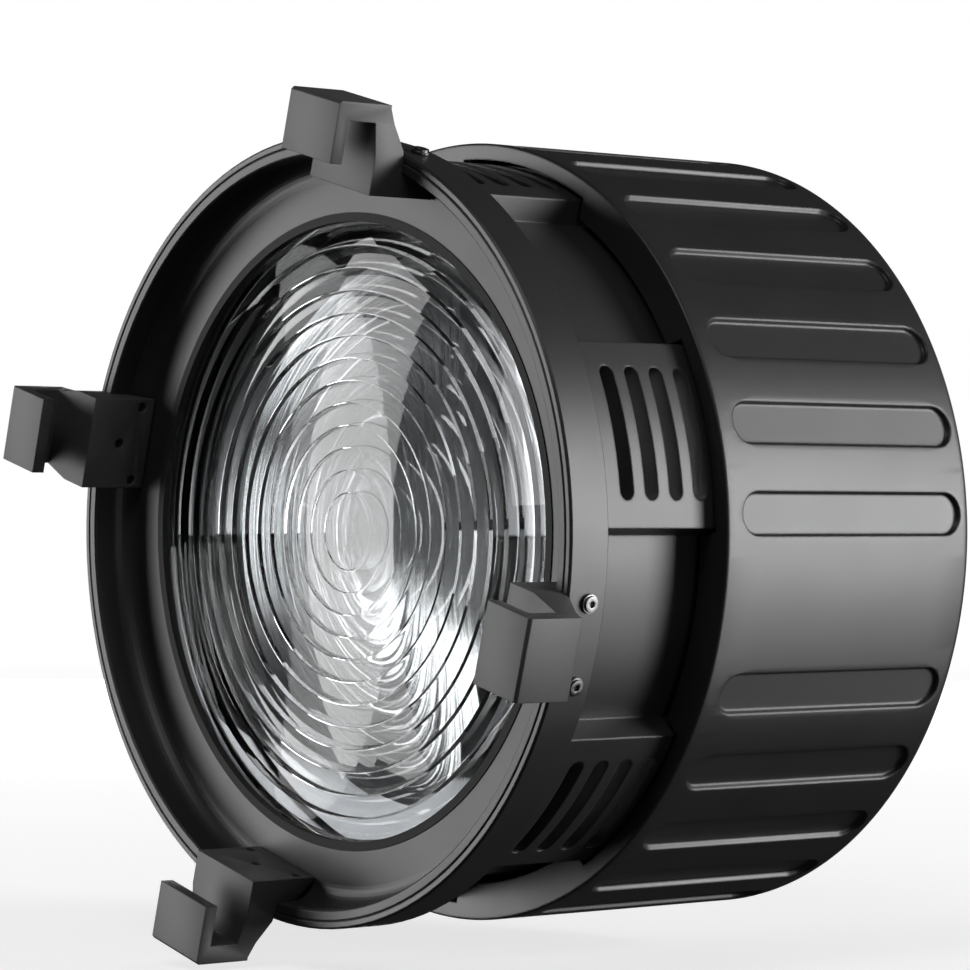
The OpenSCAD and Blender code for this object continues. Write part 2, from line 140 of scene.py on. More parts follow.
class Finish:
    """A material under construction."""

    def __init__(self, name):
        self.material = bpy.data.materials.new(name)
        self.material.use_nodes = True
        self.tree = self.material.node_tree
        self.tree.nodes.clear()
        self.output = self.tree.nodes.new("ShaderNodeOutputMaterial")
        self.place = self.node("ShaderNodeTexCoord").outputs["Object"]

    def node(self, kind, settings=None, sockets=None):
        """Adds a node: its settings first, then the values or links of its sockets."""
        node = self.tree.nodes.new(kind)
        for name, value in (settings or {}).items():
            setattr(node, name, value)
        for key, value in (sockets or {}).items():
            socket = node.inputs[key]
            if isinstance(value, Value):
                value = value.socket
            if isinstance(value, bpy.types.NodeSocket):
                self.tree.links.new(value, socket)
            else:
                socket.default_value = value
        return node

    def noise(self, scale, detail=2.0, roughness=0.5, vector=None):
        """A noise pattern from 0 to 1; scale is in waves a metre."""
        node = self.node("ShaderNodeTexNoise", None, {
            "Vector": vector or self.place, "Scale": scale, "Detail": detail, "Roughness": roughness})
        return Value(self, node.outputs["Fac"])

    def parts(self):
        """The object's X, Y and Z as three values."""
        node = self.node("ShaderNodeSeparateXYZ", None, {0: self.place})
        return [Value(self, s) for s in node.outputs]

    def mix(self, factor, one, two):
        """A colour between two colours."""
        node = self.node("ShaderNodeMix", {"data_type": "RGBA"}, {0: factor, 6: one, 7: two})
        return node.outputs[2]

    def soft_edges(self, width):
        """A normal that rounds the edges over a width in metres."""
        return self.node("ShaderNodeBevel", {"samples": 4}, {"Radius": width}).outputs["Normal"]

    def bump(self, height, distance, strength=1.0, normal=None):
        """A normal from a height; distance is in metres."""
        sockets = {"Height": height, "Distance": distance, "Strength": strength}
        if normal is not None:
            sockets["Normal"] = normal
        return self.node("ShaderNodeBump", None, sockets).outputs["Normal"]

    def surface(self, **sockets):
        """The main shader, linked to the output; underscores stand for spaces."""
        node = self.node("ShaderNodeBsdfPrincipled", None,
                         {k.replace("_", " "): v for k, v in sockets.items()})
        self.tree.links.new(node.outputs[0], self.output.inputs["Surface"])
        return node


def rgba(colour):
    return (*colour, 1.0)


def lighter(colour, share):
    return tuple(min(1.0, c * share) for c in colour) + (1.0,)


# ---- Sizes and colours that a user may change ----


class FinishSettings(bpy.types.PropertyGroup):
    """Colours and textures of the finishes."""

    sleeve: FloatVectorProperty(name="Sleeve", description="Satin coat of the grip sleeve",
                                subtype="COLOR", default=(0.016, 0.016, 0.017))
    barrel: FloatVectorProperty(name="Barrel", description="Satin coat of the vented barrel",
                                subtype="COLOR", default=(0.022, 0.022, 0.023))
    rim: FloatVectorProperty(name="Rim", description="Satin coat of the rim and its cup",
                             subtype="COLOR", default=(0.018, 0.018, 0.019))
    bracket: FloatVectorProperty(name="Brackets", description="Satin coat of the accessory brackets",
                                 subtype="COLOR", default=(0.055, 0.055, 0.057))
    housing: FloatVectorProperty(name="Housing", description="Coat of the rear housing",
                                 subtype="COLOR", default=(0.013, 0.013, 0.014))
    screw: FloatVectorProperty(name="Dark screws", description="Blackened steel screws",
                               subtype="COLOR", default=(0.12, 0.12, 0.124))
    reflector: FloatVectorProperty(name="Light cone", description="Bright inner face of the light cone",
                                   subtype="COLOR", default=(0.86, 0.87, 0.88))
    glass: FloatVectorProperty(name="Lens", description="Tint of the lens",
                               subtype="COLOR", default=(0.97, 0.985, 0.99))
    grain: FloatProperty(name="Coat grain", description="Size of the grain in the satin coat",
                         subtype="DISTANCE", default=0.00045, min=0.0001, max=0.002)


class LensSettings(bpy.types.PropertyGroup):
    """Sizes of the lens."""

    centre: FloatProperty(name="Central disc", description="Radius of the lens's central disc",
                          subtype="DISTANCE", default=0.011, min=0.008, max=0.016)
    aperture: FloatProperty(name="Aperture", description="Visible radius of the lens",
                            subtype="DISTANCE", default=0.089)
    zones: IntProperty(name="Zones", description="Stepped zones round the central disc",
                       default=12, min=6, max=16)
    curve: FloatProperty(name="Curve", description="Slope of a zone for each metre of radius",
                         default=5.8, min=3.0, max=7.0)
    gasket_lip: FloatProperty(name="Gasket lip", description="From the gasket's front to the lens's rim",
                              subtype="DISTANCE", default=0.0024)


class SleeveSettings(bpy.types.PropertyGroup):
    """Sizes of the grip sleeve."""

    places: IntProperty(name="Places", description="Places for grip recesses, one of them left plain",
                        default=28, min=20, max=30)
    first: FloatProperty(name="First place", description="Angle of the place that follows the plain one",
                         subtype="ANGLE", default=math.radians(-22.764))
    recess_width: FloatProperty(name="Recess width", description="Width of a grip recess",
                                subtype="DISTANCE", default=0.013, min=0.008, max=0.015)
    recess_depth: FloatProperty(name="Recess depth", description="Depth of a grip recess",
                                subtype="DISTANCE", default=0.0016, min=0.0008, max=0.002)
    margin_front: FloatProperty(name="Front margin", description="Plain margin in front of the recesses",
                                subtype="DISTANCE", default=0.0057, min=0.004, max=0.009)
    margin_rear: FloatProperty(name="Rear margin", description="Plain margin behind the recesses",
                               subtype="DISTANCE", default=0.0041, min=0.0035, max=0.009)
    soften: FloatProperty(name="Soft edge", description="Width of a recess's rounded edge",
                          subtype="DISTANCE", default=0.0018, min=0.0005, max=0.003)
    cuts: IntProperty(name="Facets", description="Facets across one place",
                      default=16, min=8, max=30)
    round_front: FloatProperty(name="Front round", description="Rounding of the front edge",
                               subtype="DISTANCE", default=0.0008)
    round_rear: FloatProperty(name="Rear round", description="Rounding of the rear edge",
                              subtype="DISTANCE", default=0.0025)
    wall: FloatProperty(name="Wall", description="Wall of the sleeve",
                        subtype="DISTANCE", default=0.0045)
    key: FloatProperty(name="Front face", description="Thickness of the notched front face",
                       subtype="DISTANCE", default=0.0045)
    lip: FloatProperty(name="Front face depth",
                       description="From the outside to the front face's inner edge",
                       subtype="DISTANCE", default=0.0108)
    notch_w: FloatProperty(name="Notch width", description="Width of a notch for a vent pad",
                           subtype="DISTANCE", default=0.0548)
    notch_r: FloatProperty(name="Notch radius", description="Radius of a notch's round bottom",
                           subtype="DISTANCE", default=0.1092)
    notch_first: FloatProperty(name="First notch", description="Angle of the first notch",
                               subtype="ANGLE", default=math.radians(15))


class BracketSettings(bpy.types.PropertyGroup):
    """Sizes of the accessory brackets."""

    edge: FloatProperty(name="Edge", description="Rounding of a bracket's edges",
                        subtype="DISTANCE", default=0.0004, min=0.0001, max=0.0008)
    dome: FloatProperty(name="Screw dome", description="Rounding of a screw head's edges",
                        subtype="DISTANCE", default=0.00034, min=0.0001, max=0.0004)


class StudioSettings(bpy.types.PropertyGroup):
    """The camera and the lamps of the studio."""

    azimuth: FloatProperty(name="Camera azimuth", description="Turn of the camera round the object",
                           subtype="ANGLE", default=math.radians(49.95))
    elevation: FloatProperty(name="Camera elevation", description="Height angle of the camera",
                             subtype="ANGLE", default=math.radians(-0.24))
    roll: FloatProperty(name="Camera roll", description="Roll of the camera about its own axis",
                        subtype="ANGLE", default=math.radians(0.29))
    distance: FloatProperty(name="Camera distance",
                            description="From the camera to the point it looks at",
                            subtype="DISTANCE", default=1.1631)
    aim_depth: FloatProperty(name="Aim depth", description="How far behind the rim the camera looks",
                             subtype="DISTANCE", default=0.0653)
    aim_rise: FloatProperty(name="Aim rise", description="How far above the axis the camera looks",
                            subtype="DISTANCE", default=0.0137)
    lens: FloatProperty(name="Focal length", description="Camera focal length on a 36 mm sensor",
                        default=145.94)
    backdrop: FloatVectorProperty(name="Backdrop", description="Colour of the floor and the backdrop",
                                  subtype="COLOR", default=(0.9, 0.9, 0.9))


def settings():
    return bpy.context.scene.fresnel_finish


# ---- Modelling ----


def deselect():
    if bpy.context.object and bpy.context.object.mode != "OBJECT":
        bpy.ops.object.mode_set(mode="OBJECT")
    bpy.ops.object.select_all(action="DESELECT")


def edit(piece):
    """Opens a piece in edit mode with nothing selected."""
    deselect()
    piece.select_set(True)
    bpy.context.view_layer.objects.active = piece
    bpy.ops.object.mode_set(mode="EDIT")
    bpy.ops.mesh.select_all(action="DESELECT")


def pick(kind, test):
    """Selects the vertices, edges or faces whose middle passes a test."""
    bpy.ops.mesh.select_all(action="DESELECT")
    bpy.ops.mesh.select_mode(type=kind)
    mesh = bmesh.from_edit_mesh(bpy.context.object.data)
    items = {"VERT": mesh.verts, "EDGE": mesh.edges, "FACE": mesh.faces}[kind]
    for item in items:
        if kind == "VERT":
            middle = item.co
        elif kind == "EDGE":
            middle = (item.verts[0].co + item.verts[1].co) / 2
        else:
            middle = item.calc_center_median()
        if test(middle):
            item.select_set(True)
    mesh.select_flush_mode()
    bmesh.update_edit_mesh(bpy.context.object.data)


def draw(name, points):
    """A line through (radius, y) points, drawn point by point from one vertex."""
    deselect()
    bpy.ops.mesh.primitive_plane_add(size=0.0001, location=(*points[0], 0))
    piece = bpy.context.object
    piece.name = piece.data.name = name
    bpy.ops.object.transform_apply(location=True, rotation=True, scale=True)
    edit(piece)
    bpy.ops.mesh.select_all(action="SELECT")
    bpy.ops.mesh.merge(type="CENTER")
    for one, two in zip(points, points[1:]):
        step = Vector((*two, 0)) - Vector((*one, 0))
        bpy.ops.mesh.extrude_vertices_move(TRANSFORM_OT_translate={"value": step})
    return piece


def turned(name, points, steps, sharp):
    """A body turned about the axis from (radius, y) points that begin and end on it."""
    piece = draw(name, points)
    bpy.ops.mesh.select_all(action="SELECT")
    bpy.ops.mesh.remove_doubles(threshold=1e-6)
    bpy.ops.mesh.spin(steps=steps, angle=2 * math.pi, center=(0, 0, 0), axis=(0, 1, 0))
    bpy.ops.mesh.select_all(action="SELECT")
    bpy.ops.mesh.remove_doubles(threshold=2e-6)
    bpy.ops.mesh.normals_make_consistent(inside=False)
    finish_mesh(piece, sharp)
    return piece


def finish_mesh(piece, sharp):
    """Back to object mode, smooth but for edges sharper than an angle in degrees."""
    deselect()
    piece.select_set(True)
    bpy.context.view_layer.objects.active = piece
    bpy.ops.object.shade_smooth_by_angle(angle=math.radians(sharp))


def apply_modifier(piece, kind, **values):
    """Adds a modifier, sets it up and applies it."""
    deselect()
    piece.select_set(True)
    bpy.context.view_layer.objects.active = piece
    modifier = piece.modifiers.new(kind.lower(), kind)
    for name, value in values.items():
        setattr(modifier, name, value)
    bpy.ops.object.modifier_apply(modifier=modifier.name)


def copy_of_node(node, name):
    """A merged copy of a node of the frame, its flat faces whole again."""
    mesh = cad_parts[node].data.copy()
    mesh.name = name
    piece = bpy.data.objects.new(name, mesh)
    bpy.context.scene.collection.objects.link(piece)
    edit(piece)
    bpy.ops.mesh.select_all(action="SELECT")
    bpy.ops.mesh.remove_doubles(threshold=2e-6)
    bpy.ops.mesh.customdata_custom_splitnormals_clear()
    bpy.ops.mesh.select_all(action="SELECT")
    bpy.ops.mesh.dissolve_limited(angle_limit=math.radians(0.5))
    bpy.ops.object.mode_set(mode="OBJECT")
    return piece


def settle(piece, body, finish, *nodes):
    """Gives a piece its finish, its body and the nodes it stands for."""
    piece.data.materials.clear()
    piece.data.materials.append(finishes[finish])
    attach(piece, body)
    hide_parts(*nodes)


class FRESNEL_OT_lens(bpy.types.Operator):
    """Turn the lens with its smooth stepped zones"""

    bl_idname = "fresnel.lens"
    bl_label = "Fresnel lens"

    def execute(self, context):
        s = context.scene.fresnel_lens
        face = front("lens_gasket") + s.gasket_lip
        crest, rear = front("fresnel_lens") + 0.00002, back("fresnel_lens")
        edge = radius("fresnel_lens")
        clear = s.aperture - 0.0005
        width = (clear - s.centre) / s.zones
        points = [(0, crest)]

        def slope(r0, r1, count):
            for k in range(1, count + 1):
                t = k / count
                points.append((r0 + t * (r1 - r0),
                               crest + s.curve * ((r0 + t * (r1 - r0)) ** 2 - r0 ** 2) / 2))

        slope(0, s.centre, 6)
        for zone in range(s.zones):
            r0 = s.centre + zone * width
            points.append((r0 + 0.00012, crest + 0.00018))
            points.append((r0 + 0.00026, crest))
            slope(r0 + 0.00026, r0 + width, 6)
        points += [(s.aperture, face), (edge, face), (edge, rear), (0, rear)]
        lens = turned("fresnel_lens_moulded", points, 256, 25)
        settle(lens, "lens_barrel", "glass", "fresnel_lens")
        return {"FINISHED"}


def sheet_of(start, end, width):
    """A flat rectangle from one place along Y to another."""
    deselect()
    bpy.ops.mesh.primitive_plane_add(size=1, location=(0, (start + end) / 2, 0))
    sheet = bpy.context.object
    sheet.scale = (width, end - start, 1)
    bpy.ops.object.transform_apply(location=True, rotation=True, scale=True)
    return sheet


def join(*parts):
    deselect()
    for part in parts:
        part.select_set(True)
    bpy.context.view_layer.objects.active = parts[0]
    bpy.ops.object.join()
    return parts[0]


# Steps down a recess's edge: shares of its width inwards and of its depth downwards
RECESS_EDGE = ((0.08, 0.02), (0.10, 0.08), (0.10, 0.22), (0.06, 0.36), (0.10, 0.22), (0.14, 0.08),
               (0.20, 0.02))


def recess(s, start, end):
    """A round-ended recess with soft edges, its rim level with Z = 0."""
    half = s.recess_width / 2
    step = math.pi / 16
    deselect()
    bpy.ops.mesh.primitive_circle_add(vertices=32, radius=half / math.cos(step / 2), fill_type="NGON",
                                      location=(0, start + half, 0), rotation=(0, 0, step / 2))
    dish = bpy.context.object
    bpy.ops.object.transform_apply(location=True, rotation=True, scale=True)
    edit(dish)
    pick("VERT", lambda c: c.y > start + half)
    bpy.ops.transform.translate(value=(0, end - start - 2 * half, 0))
    pick("FACE", lambda c: True)
    for inward, down in RECESS_EDGE:
        bpy.ops.mesh.inset(thickness=inward * s.soften, depth=-down * s.recess_depth)
    bpy.ops.object.mode_set(mode="OBJECT")
    return dish


def sleeve_place(s, start, end, length, width, plain):
    """One flat place of the sleeve: X across, Y along the axis, Z outwards."""
    sheet = sheet_of(start, end, width)
    if plain:
        edit(sheet)
        pick("EDGE", lambda c: abs(c.x) > width / 4)
        bpy.ops.mesh.subdivide(number_cuts=7)
    else:
        edit(sheet)
        bpy.ops.mesh.select_all(action="SELECT")
        bpy.ops.mesh.delete(type="ONLY_FACE")
        bpy.ops.mesh.select_all(action="SELECT")
        bpy.ops.mesh.subdivide(number_cuts=7)
        bpy.ops.object.mode_set(mode="OBJECT")
        sheet = join(recess(s, s.margin_front, length - s.margin_rear), sheet)
        edit(sheet)
        bpy.ops.mesh.select_mode(type="EDGE")
        mesh = bmesh.from_edit_mesh(sheet.data)
        for e in mesh.edges:
            e.select_set(len(e.link_faces) < 2)
        bmesh.update_edit_mesh(sheet.data)
        bpy.ops.mesh.bridge_edge_loops()
    edit(sheet)
    for k in range(1, s.cuts):
        bpy.ops.mesh.select_all(action="SELECT")
        bpy.ops.mesh.bisect(plane_co=(-width / 2 + k * width / s.cuts, 0, 0), plane_no=(1, 0, 0))
    bpy.ops.object.mode_set(mode="OBJECT")
    return sheet


def quarter(size, count):
    """The steps of a quarter round, as (along, down) pairs that add up to its size."""
    angles = [k * math.pi / 2 / count for k in range(count + 1)]
    return [(size * (math.sin(b) - math.sin(a)), size * (math.cos(b) - math.cos(a)))
            for a, b in zip(angles, angles[1:])]


class FRESNEL_OT_sleeve(bpy.types.Operator):
    """Model the grip sleeve flat, one place at a time, and wrap it round"""

    bl_idname = "fresnel.sleeve"
    bl_label = "Grip sleeve"

    def execute(self, context):
        s = context.scene.fresnel_sleeve
        outer = radius("grip_sleeve")
        near, far = front("grip_sleeve"), back("grip_sleeve")
        length = far - near
        width = 2 * math.pi * outer / s.places
        start, end = s.round_front, length - s.round_rear
        strip = sleeve_place(s, start, end, length, width, False)
        apply_modifier(strip, "ARRAY", count=s.places - 1, use_merge_vertices=True,
                       merge_threshold=0.00002)
        plain = sleeve_place(s, start, end, length, width, True)
        edit(plain)
        bpy.ops.mesh.select_all(action="SELECT")
        bpy.ops.transform.translate(value=((s.places - 1) * width, 0, 0))
        strip = join(strip, plain)
        strip.name = strip.data.name = "grip_sleeve_shell"
        edit(strip)
        bpy.ops.mesh.select_all(action="SELECT")
        bpy.ops.mesh.remove_doubles(threshold=0.00002)
        pick("EDGE", lambda c: c.y > end - 0.00001)
        for along, down in quarter(s.round_rear, 6):
            self.pull(along, down)
        pick("EDGE", lambda c: c.y < start + 0.00001)
        for along, down in quarter(s.round_front, 4):
            self.pull(-along, down)
        wall, lip = s.wall, s.lip
        trap = back("trap_ring") - front("trap_ring")
        seat = outer - radius("trap_ring")
        for along, down in ((0, s.round_front - lip), (s.key, 0), (0, lip - wall),
                            (length - s.key - trap, 0), (0, wall - seat), (trap, 0),
                            (0, seat - s.round_rear)):
            self.pull(along, down)
        bpy.ops.object.mode_set(mode="OBJECT")
        self.wrap(strip, outer, near, s)
        self.notch(strip, outer, near, s)
        finish_mesh(strip, 40)
        settle(strip, "focus_ring", "sleeve", "grip_sleeve")
        return {"FINISHED"}

    def pull(self, along, down):
        """Draws the selected edge on, along Y and Z."""
        bpy.ops.mesh.extrude_edges_move(TRANSFORM_OT_translate={"value": (0, along, down)})

    def wrap(self, strip, outer, near, s):
        """Stands the strip along Z, bends it into a ring and turns its first place to its angle."""
        deselect()
        strip.select_set(True)
        bpy.context.view_layer.objects.active = strip
        strip.rotation_euler = (0, -math.pi / 2, 0)
        bpy.ops.object.transform_apply(location=True, rotation=True, scale=True)
        apply_modifier(strip, "SIMPLE_DEFORM", deform_method="BEND", deform_axis="Y", angle=2 * math.pi)
        strip.location = (-outer, near, 0)
        bpy.ops.object.transform_apply(location=True, rotation=True, scale=True)
        strip.rotation_euler = (0, math.pi - s.first, 0)
        bpy.ops.object.transform_apply(location=True, rotation=True, scale=True)
        edit(strip)
        bpy.ops.mesh.select_all(action="SELECT")
        bpy.ops.mesh.remove_doubles(threshold=0.00002)
        bpy.ops.mesh.normals_make_consistent(inside=False)
        bpy.ops.object.mode_set(mode="OBJECT")

    def notch(self, strip, outer, near, s):
        """Cuts the six notches for the vent pads, two opposite ones at a time."""
        middle = near + s.key / 2
        for turn in range(3):
            deselect()
            bpy.ops.mesh.primitive_cylinder_add(vertices=256, radius=s.notch_r, depth=s.key + 0.002,
                                                location=(0, middle, 0), rotation=(math.pi / 2, 0, 0))
            cutter = bpy.context.object
            bpy.ops.object.transform_apply(location=True, rotation=True, scale=True)
            deselect()
            angle = math.pi / 2 - s.notch_first - turn * math.pi / 3
            bpy.ops.mesh.primitive_cube_add(size=1, location=(0, middle, 0), rotation=(0, angle, 0))
            block = bpy.context.object
            block.scale = (s.notch_w, s.key + 0.004, outer * 2.4)
            bpy.ops.object.transform_apply(location=True, rotation=True, scale=True)
            apply_modifier(cutter, "BOOLEAN", operation="INTERSECT", object=block)
            apply_modifier(strip, "BOOLEAN", operation="DIFFERENCE", object=cutter)
            bpy.data.objects.remove(cutter)
            bpy.data.objects.remove(block)


class FRESNEL_OT_brackets(bpy.types.Operator):
    """Round the edges of the four accessory brackets"""

    bl_idname = "fresnel.brackets"
    bl_label = "Accessory brackets"

    def execute(self, context):
        for side in ("right", "top", "left", "bottom"):
            piece = copy_of_node("bracket_" + side, f"bracket_{side}_rounded")
            apply_modifier(piece, "BEVEL", width=context.scene.fresnel_bracket.edge, segments=3,
                           limit_method="ANGLE", angle_limit=math.radians(35), harden_normals=False)
            finish_mesh(piece, 40)
            settle(piece, "lens_barrel", "bracket", "bracket_" + side)
        return {"FINISHED"}


class FRESNEL_OT_screws(bpy.types.Operator):
    """Dome the button heads of the bracket screws"""

    bl_idname = "fresnel.screws"
    bl_label = "Bracket screws"

    def execute(self, context):
        piece = copy_of_node("bracket_screws", "bracket_screws_domed")
        apply_modifier(piece, "BEVEL", width=context.scene.fresnel_bracket.dome, segments=3,
                       limit_method="ANGLE", angle_limit=math.radians(60), harden_normals=False)
        finish_mesh(piece, 50)
        settle(piece, "lens_barrel", "screw", "bracket_screws")
        return {"FINISHED"}


# ---- Finishes ----


def satin_coat(name, colour, roughness=0.42, edge=0.0004, depth=0.00003):
    """A satin coat on metal: fine grain, faint mottling."""
    f = Finish(name)
    fine = f.noise(1 / settings().grain, 2.0, 0.6)
    cloud = f.noise(45.0, 3.0, 0.55)
    mottle = (fine * 0.6 + cloud * 0.5 - 0.05).limited()
    tint = f.mix(mottle, lighter(colour, 0.72), lighter(colour, 1.35))
    rough = roughness - 0.05 + fine * 0.06 + cloud * 0.05
    f.surface(Base_Color=tint, Roughness=rough, Metallic=0.0, Specular_IOR_Level=0.5,
              Normal=f.bump(fine, depth, 0.55, f.soft_edges(edge)))
    return f.material


def lined_coat(name, colour, bare, wall_r):
    """A satin coat outside a tube and bare metal inside it; wall_r parts the two."""
    f = Finish(name)
    fine = f.noise(1 / settings().grain, 2.0, 0.6)
    cloud = f.noise(45.0, 3.0, 0.55)
    x, _, z = f.parts()
    r = (x * x + z * z) ** 0.5
    inside = (wall_r - r) > 0.0
    mottle = (fine * 0.6 + cloud * 0.5 - 0.05).limited()
    coat = f.mix(mottle, lighter(colour, 0.72), lighter(colour, 1.35))
    metal = f.mix(fine, lighter(bare, 0.9), lighter(bare, 1.1))
    rough = 0.37 + fine * 0.06 + cloud * 0.05 - inside * 0.1
    f.surface(Base_Color=f.mix(inside, coat, metal), Roughness=rough, Metallic=inside,
              Normal=f.bump(fine, 0.00003, 0.5, f.soft_edges(0.0008)))
    return f.material


def bare_metal(name, colour, roughness=0.3, turned=False):
    """Bare metal with turning marks round the axis, or a fine grain."""
    f = Finish(name)
    x, y, z = f.parts()
    if turned:
        r = (x * x + z * z) ** 0.5
        lines = f.node("ShaderNodeCombineXYZ", None, {0: r, 1: y})
        marks = f.noise(2600.0, 2.0, 0.6, lines.outputs[0])
    else:
        marks = f.noise(1800.0, 2.0, 0.6)
    cloud = f.noise(60.0, 2.0)
    tint = f.mix((marks * 0.5 + cloud * 0.5).limited(), lighter(colour, 0.85), lighter(colour, 1.12))
    f.surface(Base_Color=tint, Roughness=roughness - 0.06 + marks * 0.1 + cloud * 0.04, Metallic=1.0,
              Normal=f.bump(marks, 0.00001, 0.4))
    return f.material


def cone_metal(name, colour):
    """Spun metal, bright on the side that faces the axis and black on the other."""
    f = Finish(name)
    x, y, z = f.parts()
    r = (x * x + z * z) ** 0.5
    rings = f.node("ShaderNodeCombineXYZ", None, {0: r, 1: y})
    marks = f.noise(3000.0, 2.0, 0.6, rings.outputs[0])
    face = f.node("ShaderNodeNewGeometry").outputs["True Normal"]
    out = f.node("ShaderNodeCombineXYZ", None, {0: x, 2: z}).outputs[0]
    lean = Value(f, f.node("ShaderNodeVectorMath", {"operation": "DOT_PRODUCT"},
                           {0: face, 1: out}).outputs["Value"])
    outer = lean > 0.001
    bright = f.mix(marks, lighter(colour, 0.9), lighter(colour, 1.05))
    tint = f.mix(outer, bright, (0.01, 0.01, 0.01, 1))
    f.surface(Base_Color=tint, Roughness=0.14 + marks * 0.1 + outer * 0.4, Metallic=1.0,
              Normal=f.bump(marks, 0.00004, 1.0))
    return f.material


def rubber(name, colour):
    f = Finish(name)
    fine = f.noise(2200.0, 2.0)
    f.surface(Base_Color=f.mix(fine, lighter(colour, 0.8), lighter(colour, 1.3)),
              Roughness=0.7 + fine * 0.1, Normal=f.bump(fine, 0.00003, 0.4))
    return f.material


def lens_glass(name, colour):
    f = Finish(name)
    smear = f.noise(30.0, 2.0)
    f.surface(Base_Color=rgba(colour), Roughness=0.0 + smear * 0.015, Transmission_Weight=1.0, IOR=1.49)
    return f.material


FINISH_OF = {
    "grip_sleeve": "sleeve", "trap_ring": "turned",
    "vented_barrel": "barrel", "front_rim": "rim", "front_cup": "cup", "lens_gasket": "gasket",
    "fresnel_lens": "glass", "lens_retainer": "turned", "lens_clamp_screws": "zinc",
    "bracket_right": "bracket", "bracket_top": "bracket", "bracket_left": "bracket",
    "bracket_bottom": "bracket", "bracket_screws": "screw", "cam_rollers": "brass",
    "roller_screws": "zinc", "bearing_drum": "housing", "cam_tube": "turned",
    "cam_tube_screws": "screw", "light_cone": "reflector", "light_cone_screws": "zinc",
    "rear_cover": "housing", "rear_cover_screws": "screw", "mount_ring": "mount",
    "mount_ring_screws": "zinc",
}


def make_finishes():
    s = settings()
    return {
        "sleeve": satin_coat("sleeve_coat", s.sleeve, 0.40, 0.0007),
        "barrel": lined_coat("barrel_coat", s.barrel, (0.5, 0.5, 0.51),
                             radius("lens_retainer") + 0.0006),
        "rim": satin_coat("rim_coat", s.rim, 0.42),
        "cup": satin_coat("cup_coat", s.rim, 0.45),
        "bracket": satin_coat("bracket_coat", s.bracket, 0.5),
        "housing": satin_coat("housing_coat", s.housing, 0.5),
        "screw": bare_metal("blackened_steel", s.screw, 0.35),
        "zinc": bare_metal("zinc_steel", (0.55, 0.56, 0.58), 0.3),
        "turned": bare_metal("turned_aluminium", (0.5, 0.51, 0.53), 0.35, True),
        "mount": bare_metal("mount_aluminium", (0.55, 0.56, 0.58), 0.3, True),
        "reflector": cone_metal("bright_reflector", s.reflector),
        "brass": bare_metal("roller_brass", (0.72, 0.52, 0.25), 0.3, True),
        "gasket": rubber("gasket_rubber", (0.012, 0.012, 0.012)),
        "glass": lens_glass("lens_glass", s.glass),
    }


class FRESNEL_OT_finishes(bpy.types.Operator):
    """Give every piece of the frame its finish"""

    bl_idname = "fresnel.finishes"
    bl_label = "Finishes"

    def execute(self, context):
        finishes.update(make_finishes())
        for node, finish in FINISH_OF.items():
            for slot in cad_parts[node].material_slots:
                slot.material = finishes[finish]
        return {"FINISHED"}


# ---- Studio ----


def floor_with_painted_glow(name, colour):
    """Pale paper that glows with painted light: its emission, dimmer near the object and full white far
    off, fades it into the backdrop.
    """
    f = Finish(name)
    cloud = f.noise(2.0, 1.0)
    x, y, _ = f.parts()
    far = ((x * x + y * y) ** 0.5 / 2.5).limited()
    f.surface(Base_Color=f.mix(cloud, lighter(colour, 0.49), lighter(colour, 0.51)), Roughness=0.9,
              # Painted glow: emission that rises with distance from the object stands in for light on
              # the floor
              Emission_Color=f.mix(far, lighter(colour, 0.72), (1, 1, 1, 1)), Emission_Strength=1.0,
              Specular_IOR_Level=0.0)
    return f.material


def inner_pieces():
    """The glass and the metal that are seen through it."""
    nodes = ("light_cone", "fresnel_lens", "cam_tube", "lens_retainer", "light_cone_screws",
             "cam_tube_screws", "lens_clamp_screws")
    return [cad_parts[node] for node in nodes] + [bpy.data.objects["fresnel_lens_moulded"]]


def link_light(lamp, inner):
    """An inner lamp lights the inner pieces alone, and any other lamp leaves them out."""
    lit = bpy.data.collections.new(lamp.name + "_link")
    lamp.light_linking.receiver_collection = lit
    for piece in inner_pieces():
        lit.objects.link(piece)
    for entry in lit.collection_objects:
        entry.light_linking.link_state = "INCLUDE" if inner else "EXCLUDE"


def softbox(name, azimuth, elevation, distance, size, power, inner):
    """A soft lamp; azimuth 0 stands in front of the lens, 90 on its right as seen by it."""
    a, e = math.radians(azimuth), math.radians(elevation)
    toward = Vector((math.sin(a) * math.cos(e), -math.cos(a) * math.cos(e), math.sin(e)))
    lo, hi = cad_box
    centre = (lo + hi) / 2
    bpy.ops.object.light_add(type="AREA", location=centre + toward * distance)
    lamp = bpy.context.object
    lamp.name = name
    lamp.rotation_mode = "QUATERNION"
    lamp.rotation_quaternion = (-toward).to_track_quat("-Z", "Y")
    lamp.data.shape = "RECTANGLE"
    lamp.data.size, lamp.data.size_y = size
    lamp.data.energy = power
    lamp.visible_camera = False
    link_light(lamp, inner)
    return lamp


# Name, azimuth and elevation in degrees, distance, size, watts, and whether it lights the inner pieces
LAMPS = (
    ("right_rear_softbox", 129, 6, 1.7, (0.75, 1.0), 38, False),
    ("right_low_softbox", 129, -20, 1.7, (0.75, 0.6), 8, False),
    ("right_side_softbox", 82, -6, 1.9, (0.6, 0.9), 5, False),
    ("left_rear_softbox", 236, 0, 1.8, (0.5, 0.9), 16, False),
    ("front_left_softbox", -50, 0, 1.9, (0.8, 1.7), 34, False),
    ("high_front_softbox", 30, 50, 2.0, (0.8, 0.8), 8, False),
    ("upper_lens_softbox", 22, 32, 1.5, (1.5, 1.55), 22, True),
    ("left_lens_softbox", -50, 0, 1.5, (0.75, 2.2), 19, True),
)


